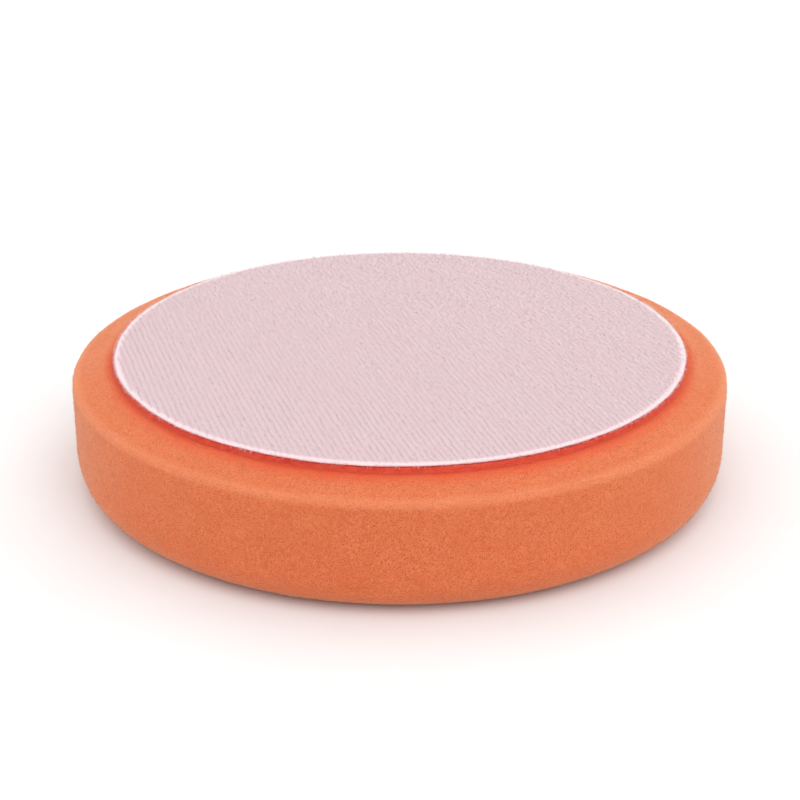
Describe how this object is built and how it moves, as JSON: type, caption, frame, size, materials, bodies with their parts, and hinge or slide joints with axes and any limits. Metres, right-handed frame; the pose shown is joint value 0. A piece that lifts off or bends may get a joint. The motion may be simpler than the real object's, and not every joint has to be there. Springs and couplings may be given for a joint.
{
  "type": "foam polishing pad",
  "caption": "Round open-cell foam polishing pad with a soft working edge and a smaller loop-cloth backing disc that grips a machine's hook plate.",
  "frame": {"origin": "middle of the flat working face, which lies on the surface to be polished", "axes": "+Z is the pad's axis, from the working face to the loop backing and the machine; the pad is round, so +X and +Y are free"},
  "size_m": [0.15, 0.15, 0.03],
  "materials": {
    "foam": "matt open-cell polyurethane foam, orange",
    "hot_melt": "red hot-melt adhesive film",
    "loop_cloth": "brushed knitted nylon loop, pale pink"
  },
  "bodies": {
    "root": {"foam_body": "foam", "adhesive_film": "hot_melt", "loop_backing": "loop_cloth"}
  },
  "joints": []
}
